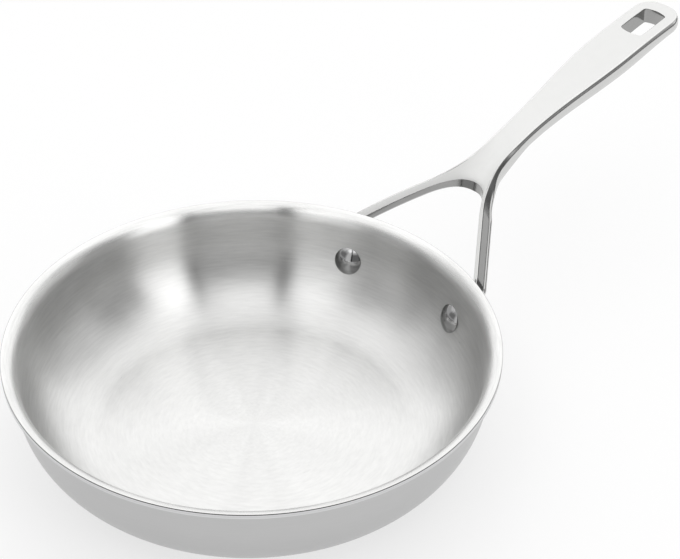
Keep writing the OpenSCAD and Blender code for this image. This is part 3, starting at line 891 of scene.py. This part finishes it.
def slot_cutter(hs, plan):
    """The hanging slot's cutter, with rounded corners and flared towards both faces."""
    middle_x = plan.tip_x - hs.hole_back
    step = hs.tip_round
    rise = edge_height(hs, plan, middle_x + step) - edge_height(hs, plan, middle_x - step)
    tilt = math.atan(rise / (2 * step))

    def outline(grow):
        half_w = hs.hole_w / 2 + grow
        end_r = hs.hole_end_r + grow
        corner = hs.hole_corner_r + grow
        end_x = hs.hole_len / 2 + grow - end_r
        # The corner's arc touches the straight side and the curved end
        y = half_w - corner
        x = end_x + math.sqrt((end_r - corner) ** 2 - y * y)
        meet = math.degrees(math.atan2(y, x - end_x))
        quarter = arc(end_x, 0, end_r, 0, meet, SLOT_END_STEPS)
        quarter += arc(x, y, corner, meet, 90, SLOT_CORNER_STEPS)[1:]
        quarter += [(x * (1 - i / SLOT_SIDE_STEPS), half_w) for i in range(1, SLOT_SIDE_STEPS + 1)]
        half = quarter + [(-px, py) for px, py in quarter[-2::-1]]
        return half + [(px, -py) for px, py in half[-2:0:-1]]

    soft, deep = hs.hole_edge_r, hs.tip_t + SLOT_UNDER
    quarter_turn = [math.pi / 2 * i / SLOT_EDGE_STEPS for i in range(SLOT_EDGE_STEPS + 1)]
    # Each level is a height and how far the outline grows there, as a share of the edge's rounding
    flare = [(SLOT_OVER, SLOT_FLARE)]
    flare += [(-soft * (1 - math.cos(a)), 1 - math.sin(a)) for a in quarter_turn]
    levels = flare + [(-deep * i / SLOT_SIDE_STEPS, 0) for i in range(1, SLOT_SIDE_STEPS)]
    levels += [(-deep - z, grow) for z, grow in reversed(flare)]
    turned = Matrix.Translation((middle_x, 0, edge_height(hs, plan, middle_x)))
    turned = turned @ Matrix.Rotation(-tilt, 4, "Y")
    rings = [[turned @ Vector((px, py, z)) for px, py in outline(grow * soft)]
             for z, grow in levels]
    count = len(rings[0])
    points = [p for ring in rings for p in ring]
    faces = [tuple(range(count)), tuple(range((len(rings) - 1) * count, len(rings) * count))]
    for k in range(0, (len(rings) - 1) * count, count):
        for j in range(count):
            j2 = (j + 1) % count
            faces.append((k + j, k + j2, k + count + j2, k + count + j))
    return mesh_from("slot_cutter", points, faces)


def rivet_place(pan, rs, side):
    """Puts a shape made on +Z on the wall's outer face at a rivet, with +Z pointing out."""
    slope, radius, z, _ = rivet_facts(pan, rs)
    place = Matrix.Rotation(side * rs.rivet_turn, 4, "Z") @ Matrix.Translation((radius, 0, z))
    return place @ Matrix.Rotation(math.pi - slope, 4, "Y")


def combine(piece, other, how):
    """Adds a mesh to a piece, or cuts it away, with an exact boolean."""
    tool = link_object("tool", other)
    work = piece.modifiers.new(how, "BOOLEAN")
    work.operation, work.solver, work.object = how, "EXACT", tool
    ready = piece.evaluated_get(bpy.context.evaluated_depsgraph_get())
    mesh = bpy.data.meshes.new_from_object(ready)
    piece.modifiers.remove(work)
    piece.data = mesh
    bpy.data.objects.remove(tool)


# Materials


def new_material(name):
    """A new material, and its node tree with nothing in it."""
    made = bpy.data.materials.new(name)
    made.use_nodes = True
    made.node_tree.nodes.clear()
    return made, made.node_tree


def show(tree, surface):
    """Ends a material in a surface."""
    add_node(tree, "ShaderNodeOutputMaterial", {"Surface": surface.outputs[0]})


def show_metal(tree, inputs):
    """Ends a material in bare metal."""
    show(tree, add_node(tree, "ShaderNodeBsdfPrincipled", {"Metallic": 1.0, **inputs}))


def noise(tree, where, scale, detail, roughness=0.5):
    """Soft noise at a place."""
    inputs = {"Vector": where, "Scale": scale, "Detail": detail, "Roughness": roughness}
    return add_node(tree, "ShaderNodeTexNoise", inputs).outputs["Fac"]


def relief(tree, height, strength, depth):
    """The normal of a surface that a pattern raises a little."""
    inputs = {"Height": height, "Strength": strength, "Distance": depth}
    return add_node(tree, "ShaderNodeBump", inputs).outputs[0]


def object_place(tree):
    """Places on the object, in metres."""
    return add_node(tree, "ShaderNodeTexCoord").outputs["Object"]


def profile_way(tree):
    """The direction along a turned piece's profile, from its map."""
    return add_node(tree, "ShaderNodeTangent", direction_type="UV_MAP", uv_map="along").outputs[0]


def ring_pattern(tree, spacing, streaks):
    """Noise drawn out round the axis, as fine lines, and the distance from the axis."""
    parts = split(tree, object_place(tree))
    flat = join(tree, parts["X"], parts["Y"])
    away = vector_calc(tree, "LENGTH", {0: flat}, "Value")
    turn = vector_calc(tree, "NORMALIZE", {0: flat})
    wide = vector_calc(tree, "SCALE", {0: turn, "Scale": streaks})
    # Radius and height both grow along the profile, so their sum tells one line from the next
    fine = calc(tree, "MULTIPLY", calc(tree, "ADD", away, parts["Z"]), 1 / spacing)
    where = vector_calc(tree, "ADD", {0: wide, 1: join(tree, z=fine)})
    return noise(tree, where, scale=1.0, detail=3.0, roughness=0.6), away


def blend(tree, factor, first, second):
    """The first colour where the factor is 0 and the second where it is 1."""
    first, second = ((*c, 1) if isinstance(c, tuple) else c for c in (first, second))
    mixed = add_node(tree, "ShaderNodeMix", {0: factor, 6: first, 7: second}, data_type="RGBA")
    return mixed.outputs[2]


def tint(tree, pattern, base, spread):
    """A colour that grows darker and lighter by a small share with a pattern."""
    dark = tuple(c * (1 - spread) for c in base)
    light = tuple(min(1.0, c * (1 + spread)) for c in base)
    return blend(tree, pattern, dark, light)


def brushed_stainless(looks, pan):
    """Brushed stainless inside: lines round the axis spread a reflection across them."""
    made, tree = new_material("brushed_stainless_inside")
    lines, away = ring_pattern(tree, spacing=1.5 * MM, streaks=8.0)
    fact = wall_facts(pan)
    # A thin ring on the lip's rounded cut edge takes the cut line's dark colour: painted shade
    cut = ramp(tree, away, fact.lip_r - EDGE_SHADE_IN, fact.lip_r - EDGE_SHADE_OUT)
    brushed = tint(tree, lines, looks.inside, spread=0.14)
    # The rolled lip is polished after brushing
    lip = ramp(tree, away, fact.wall_top_r - POLISH_IN, fact.wall_top_r + POLISH_OUT,
               looks.inside_rough, looks.lip_rough, "SMOOTHSTEP")
    uneven = ramp(tree, lines, low=-0.03, high=0.03)
    show_metal(tree, {
        "Base Color": blend(tree, cut, brushed, tuple(looks.cut)),
        "Roughness": calc(tree, "ADD", lip, uneven),
        "Anisotropic": looks.brushing,
        "Normal": relief(tree, lines, strength=0.05, depth=0.02 * MM),
        "Tangent": profile_way(tree),
    })
    return made


def satin_stainless(looks):
    """Satin magnetic stainless outside: finer lines and a wider, duller sheen."""
    made, tree = new_material("satin_stainless_outside")
    lines, _ = ring_pattern(tree, spacing=0.7 * MM, streaks=8.0)
    show_metal(tree, {
        "Base Color": tint(tree, lines, looks.outside, spread=0.03),
        "Roughness": looks.outside_rough,
        "Anisotropic": 0.5,
        "Normal": relief(tree, lines, strength=0.04, depth=0.02 * MM),
        "Tangent": profile_way(tree),
    })
    return made


def cut_metal(name, base, rough):
    """A layer's metal where the sheet was cut and turned: fine marks round the edge."""
    made, tree = new_material(name)
    marks, _ = ring_pattern(tree, spacing=0.25 * MM, streaks=30.0)
    show_metal(tree, {"Base Color": tint(tree, marks, base, spread=0.04), "Roughness": rough})
    return made


def cast_stainless(looks):
    """Cast stainless: a blasted top face, polished edges and sides, and walls left as cast and
    darkened with painted shade.
    """
    made, tree = new_material("cast_stainless_handle")
    grain = noise(tree, object_place(tree), scale=1 / (6 * MM), detail=3.0, roughness=0.5)
    # The loft marks its faces: 1 is blasted, a half is polished and 0, as in each cut, is as cast,
    # darkened with painted shade
    finish = add_node(tree, "ShaderNodeAttribute", attribute_name="finish").outputs["Fac"]
    polished = ramp(tree, finish, stop=0.5)
    blasted = ramp(tree, finish, start=0.5)
    smooth_metal = tint(tree, grain, looks.cast, spread=0.02)
    blasted_metal = tint(tree, grain, looks.blasted, spread=0.02)
    # Painted shade: the walls of the fork and the slot get a darker colour
    cast_walls_shaded_metal = tint(tree, grain, looks.cast_walls_shaded, spread=0.05)
    outside = blend(tree, blasted, smooth_metal, blasted_metal)
    # A blasted face scatters light so widely that its hollow hardly shows: its normal is evened
    bare = add_node(tree, "ShaderNodeNewGeometry").outputs["Normal"]
    upward = vector_calc(tree, "MULTIPLY", {0: blasted, 1: (0, 0, BLAST_EVENNESS)})
    evened = vector_calc(tree, "ADD", {0: bare, 1: upward})
    show_metal(tree, {
        "Base Color": blend(tree, polished, cast_walls_shaded_metal, outside),
        "Roughness": ramp(tree, blasted, low=looks.cast_rough, high=looks.ground_rough),
        "Normal": vector_calc(tree, "NORMALIZE", {0: evened}),
    })
    return made


def polished_stainless(looks):
    """Polished stainless rivets: nearly a mirror, with faint forming marks."""
    made, tree = new_material("polished_stainless_rivet")
    marks = noise(tree, object_place(tree), scale=1 / (2.5 * MM), detail=2.0)
    show_metal(tree, {
        "Base Color": (*looks.rivet, 1),
        "Roughness": ramp(tree, marks, low=looks.rivet_rough, high=looks.rivet_rough + 0.06),
        "Normal": relief(tree, marks, strength=0.1, depth=0.1 * MM),
    })
    return made


def pale_floor(stage):
    """White paper: the camera and the steel see it nearly white, with a faint shadow."""
    made, tree = new_material("white_paper_sweep")
    paper = add_node(
        tree,
        "ShaderNodeBsdfPrincipled",
        {"Base Color": (*stage.floor, 1), "Roughness": 0.9, "Specular IOR Level": 0.2},
    )
    white = add_node(tree, "ShaderNodeEmission", {"Color": (1, 1, 1, 1), "Strength": 1.0})
    rays = add_node(tree, "ShaderNodeLightPath").outputs
    direct = calc(tree, "MAXIMUM", rays["Is Camera Ray"], rays["Is Glossy Ray"])
    seen = calc(tree, "MAXIMUM", direct, rays["Is Transmission Ray"])
    whiteness = calc(tree, "MULTIPLY", seen, stage.whiteness)
    show(tree, add_node(
        tree,
        "ShaderNodeMixShader",
        {0: whiteness, 1: paper.outputs[0], 2: white.outputs[0]},
    ))
    return made


# Operators


class PanOperator:
    """What the makers share: the sizes and finishes kept on the scene."""

    bl_options = {"REGISTER", "UNDO"}

    def sizes(self, context):
        """Sizes of the pan, the handle and the rivets, then the finishes."""
        scene = context.scene
        return scene.pan_sizes, scene.handle_sizes, scene.rivet_sizes, scene.steel_finishes


class PAN_OT_make_layers(PanOperator, bpy.types.Operator):
    """Turns the five bonded layers of the pan from one profile."""

    bl_idname = "pan.make_layers"
    bl_label = "Make layered pan"

    def execute(self, context):
        pan, _, _, looks = self.sizes(context)
        inside, outside = brushed_stainless(looks, pan), satin_stainless(looks)
        core = cut_metal("bonded_aluminium", looks.core, rough=0.3)
        middle = cut_metal("bonded_core_steel", looks.middle, rough=0.32)
        depths = [0.0]
        for t in ("outer_skin_t", "lower_aluminium_t", "middle_t", "upper_aluminium_t",
                  "inner_skin_t"):
            depths.append(depths[-1] + getattr(pan, t))
        layers = (
            ("outer_steel_skin", "satin_exterior", outside, SKIN_STEPS),
            ("lower_aluminium_layer", "aluminium_core", core, LAYER_STEPS),
            ("middle_steel_layer", "core_steel", middle, LAYER_STEPS),
            ("upper_aluminium_layer", "aluminium_core", core, LAYER_STEPS),
            ("inner_steel_skin", "brushed_interior", inside, SKIN_STEPS),
        )
        for i, (node, slot, material, steps) in enumerate(layers):
            profile = layer_profile(
                pan, depths[i], depths[i + 1], soft_low=i == 0, soft_high=i == 4
            )
            mesh = revolve("turned_" + node, profile, steps, material)
            map_along(mesh, profile)
            shade(mesh, sharp_degrees=35)
            finish_piece(link_object("turned_" + node, mesh), slot, node)
        return {"FINISHED"}


class PAN_OT_make_handle(PanOperator, bpy.types.Operator):
    """Lofts the cast handle and cuts its hanging slot, its seat on the wall and its bores."""

    bl_idname = "pan.make_handle"
    bl_label = "Make cast handle"

    def execute(self, context):
        pan, hs, rs, looks = self.sizes(context)
        material = cast_stainless(looks)
        piece = link_object("forked_cast_handle", bar_mesh(hs, pan, rs))
        fact = wall_facts(pan)

        def at_rivets(name, profile, steps, how):
            for side in (1, -1):
                mesh = revolve(name, profile, steps, material)
                mesh.transform(rivet_place(pan, rs, side))
                combine(piece, mesh, how)

        edge_r = rs.pad_edge_r
        edge = arc(rs.pad_r - edge_r, rs.pad_t - edge_r, edge_r, 0, 90, PAD_EDGE_STEPS)
        pad = [(0, -fact.wall_t), (rs.pad_r, -fact.wall_t), *edge, (0, rs.pad_t)]
        at_rivets("pad", pad, PAD_STEPS, "UNION")
        over = pan.pan_h + ROOM_OVER
        filled = wall_curve(pan, 0) + [(fact.lip_r, over), (0, over)]
        combine(piece, revolve("pan_room", filled, SKIN_STEPS, material), "DIFFERENCE")
        combine(piece, slot_cutter(hs, bar_plan(hs, pan, rs)), "DIFFERENCE")
        bore, end = rs.shank_d / 2 + rs.shank_gap, rs.pad_t + BORE_OUT
        shaft = [(0, -BORE_IN), (bore, -BORE_IN), (bore, end), (0, end)]
        at_rivets("bore", shaft, BORE_STEPS, "DIFFERENCE")
        mesh = piece.data
        close_mesh(mesh)
        mesh.name = "forked_cast_handle"
        mesh.materials.clear()
        mesh.materials.append(material)
        shade(mesh, sharp_degrees=38)
        finish_piece(piece, "cast_handle", "forked_handle")
        return {"FINISHED"}


class PAN_OT_make_rivets(PanOperator, bpy.types.Operator):
    """Turns one domed rivet and sets it through both pads."""

    bl_idname = "pan.make_rivets"
    bl_label = "Make rivets"

    def execute(self, context):
        pan, _, rs, looks = self.sizes(context)
        slope, radius, z, wall = rivet_facts(pan, rs)
        head_r, shank_r, tail_r = rs.head_d / 2, rs.shank_d / 2, rs.tail_d / 2
        rise = rs.head_h - rs.head_rim
        ball = (head_r**2 + rise**2) / (2 * rise)
        half = math.degrees(math.asin(head_r / ball))
        rim = -wall - rs.head_rim
        head = arc(0, rim - rise + ball, ball, -90, -90 + half, HEAD_DOME_STEPS)
        tail_ball = (tail_r**2 + rs.tail_h**2) / (2 * rs.tail_h)
        tail_half = math.degrees(math.asin(tail_r / tail_ball))
        tail_z = rs.pad_t + rs.tail_h - tail_ball
        tail = arc(0, tail_z, tail_ball, 90 - tail_half, 90, TAIL_DOME_STEPS)
        seat = -wall + HEAD_SINK
        mesh = revolve(
            "polished_rivets",
            [*head, (head_r, seat), (shank_r, seat), (shank_r, rs.pad_t), *tail],
            PAD_STEPS,
            polished_stainless(looks),
            copies=2,
            lean=math.pi - slope,
            place=(radius, 0, z),
            turns=(-rs.rivet_turn, 2 * rs.rivet_turn),
        )
        shade(mesh, sharp_degrees=35)
        piece = link_object("polished_rivets", mesh)
        finish_piece(piece, "polished_rivet", "left_rivet", "right_rivet")
        return {"FINISHED"}


class PAN_OT_make_stage(PanOperator, bpy.types.Operator):
    """Sets the camera, a plain pale floor and soft studio light."""

    bl_idname = "pan.make_stage"
    bl_label = "Make stage"

    def execute(self, context):
        stage = context.scene.studio_stage
        self.set_camera(context, stage)
        rim = arc(0, 0, stage.table_r, 0, 360, TABLE_STEPS)[:-1]
        mesh = bpy.data.meshes.new("floor")
        mesh.from_pydata([(x, y, 0) for x, y in rim], [], [tuple(range(TABLE_STEPS))])
        mesh.materials.append(pale_floor(stage))
        link_object("floor", mesh)
        self.set_world(context, stage)
        context.scene.view_settings.view_transform = "Standard"
        return {"FINISHED"}

    def set_camera(self, context, stage):
        """Places the camera where the photograph was taken."""
        level = math.cos(stage.elevation)
        back = Vector((
            level * math.cos(stage.azimuth),
            level * math.sin(stage.azimuth),
            math.sin(stage.elevation),
        ))
        right = (-back).cross(Vector((0, 0, 1))).normalized()
        up = right.cross(-back)
        turned_right = math.cos(stage.roll) * right + math.sin(stage.roll) * up
        turned_up = -math.sin(stage.roll) * right + math.cos(stage.roll) * up
        data = bpy.data.cameras.new("camera")
        data.sensor_width, data.lens, data.sensor_fit = 36, stage.lens, "HORIZONTAL"
        data.clip_start, data.clip_end = 0.01, 20
        camera = bpy.data.objects.new("camera", data)
        axes = Matrix((turned_right, turned_up, back)).transposed().to_4x4()
        camera.matrix_world = (
            Matrix.Translation(Vector(stage.target) + stage.distance * back) @ axes
        )
        context.scene.collection.objects.link(camera)
        context.scene.camera = camera

    def set_world(self, context, stage):
        """A plain studio: an even level, to which each soft box adds light or takes some away."""
        world = bpy.data.worlds.new("studio")
        world.use_nodes = True
        tree = world.node_tree
        tree.nodes.clear()
        parts = split(tree, add_node(tree, "ShaderNodeTexCoord").outputs["Generated"])
        azimuth = calc(tree, "ARCTAN2", parts["Y"], parts["X"])
        elevation = calc(tree, "ARCSINE", parts["Z"])
        level = stage.sky
        for _, turn, half_w, rise, half_h, soft, strength in SOFT_BOXES:
            # The arc cosine of the cosine is the turn between two directions, up to half a circle
            aside = calc(tree, "SUBTRACT", azimuth, math.radians(turn))
            off_side = calc(tree, "ARCCOSINE", calc(tree, "COSINE", aside))
            above = calc(tree, "SUBTRACT", elevation, math.radians(rise))
            off_up = calc(tree, "ABSOLUTE", above)
            within = [
                ramp(tree, off, math.radians(half - soft), math.radians(half + soft), 1.0, 0.0,
                     "SMOOTHSTEP")
                for off, half in ((off_side, half_w), (off_up, half_h))
            ]
            inside = calc(tree, "MULTIPLY", *within)
            level = calc(tree, "MULTIPLY_ADD", inside, strength, level)
        # The camera sees plain white beyond the table, and the steel sees the soft boxes
        camera_ray = add_node(tree, "ShaderNodeLightPath").outputs["Is Camera Ray"]
        dimmed = calc(tree, "MAXIMUM", level, 0.0)
        shown = add_node(
            tree, "ShaderNodeMix", {0: camera_ray, 2: dimmed, 3: 1.0}, data_type="FLOAT"
        )
        light = add_node(
            tree, "ShaderNodeBackground", {"Color": (1, 1, 1, 1), "Strength": shown.outputs[0]}
        )
        add_node(tree, "ShaderNodeOutputWorld", {"Surface": light.outputs[0]})
        context.scene.world = world


class PAN_PT_sidebar(bpy.types.Panel):
    """Lists the makers and the sizes they use."""

    bl_label = "Frying pan"
    bl_space_type = "VIEW_3D"
    bl_region_type = "UI"
    bl_category = "Pan"

    def draw(self, context):
        for maker in MAKERS:
            self.layout.operator(maker.bl_idname)
        for group in (context.scene.pan_sizes, context.scene.handle_sizes,
                      context.scene.rivet_sizes, context.scene.steel_finishes,
                      context.scene.studio_stage):
            box = self.layout.box()
            for key in group.bl_rna.properties.keys():
                if key not in ("name", "rna_type"):
                    box.prop(group, key)


MAKERS = (PAN_OT_make_stage, PAN_OT_make_layers, PAN_OT_make_handle, PAN_OT_make_rivets)
GROUPS = {
    "pan_sizes": PanSizes,
    "handle_sizes": HandleSizes,
    "rivet_sizes": RivetSizes,
    "steel_finishes": SteelFinishes,
    "studio_stage": StudioStage,
}


def register():
    """Registers the groups, the makers and the panel."""
    for made in (*GROUPS.values(), *MAKERS, PAN_PT_sidebar):
        bpy.utils.register_class(made)
    for name, group in GROUPS.items():
        setattr(bpy.types.Scene, name, bpy.props.PointerProperty(type=group))


def unregister():
    """Takes everything out again."""
    for name in GROUPS:
        delattr(bpy.types.Scene, name)
    for made in (PAN_PT_sidebar, *reversed(MAKERS), *reversed(list(GROUPS.values()))):
        bpy.utils.unregister_class(made)


def main():
    register()
    bpy.ops.pan.make_stage()
    bpy.ops.pan.make_layers()
    bpy.ops.pan.make_handle()
    bpy.ops.pan.make_rivets()


if __name__ == "__main__":
    main()
